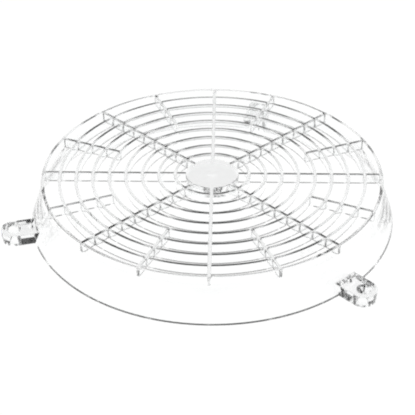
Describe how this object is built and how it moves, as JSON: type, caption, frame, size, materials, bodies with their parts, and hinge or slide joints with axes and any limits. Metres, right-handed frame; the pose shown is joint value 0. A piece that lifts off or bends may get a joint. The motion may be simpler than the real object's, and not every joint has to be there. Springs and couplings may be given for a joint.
{
  "type": "evaporator fan guard",
  "caption": "Round clear plastic fan guard: a flat grille of concentric rings and radial spokes on a flared skirt with screw lugs.",
  "frame": {"origin": "centre of the lug screw circle, on the mounting plane under the rim and the lugs", "axes": "+Z from the mounting plane to the grille's face, +X along a long spoke; one lug points 45 degrees from +X towards -Y"},
  "size_m": [0.3008, 0.3008, 0.0351],
  "materials": {
    "clear_plastic": "clear, polished moulding"
  },
  "bodies": {
    "root": {"fan_guard": "clear_plastic"}
  },
  "joints": []
}
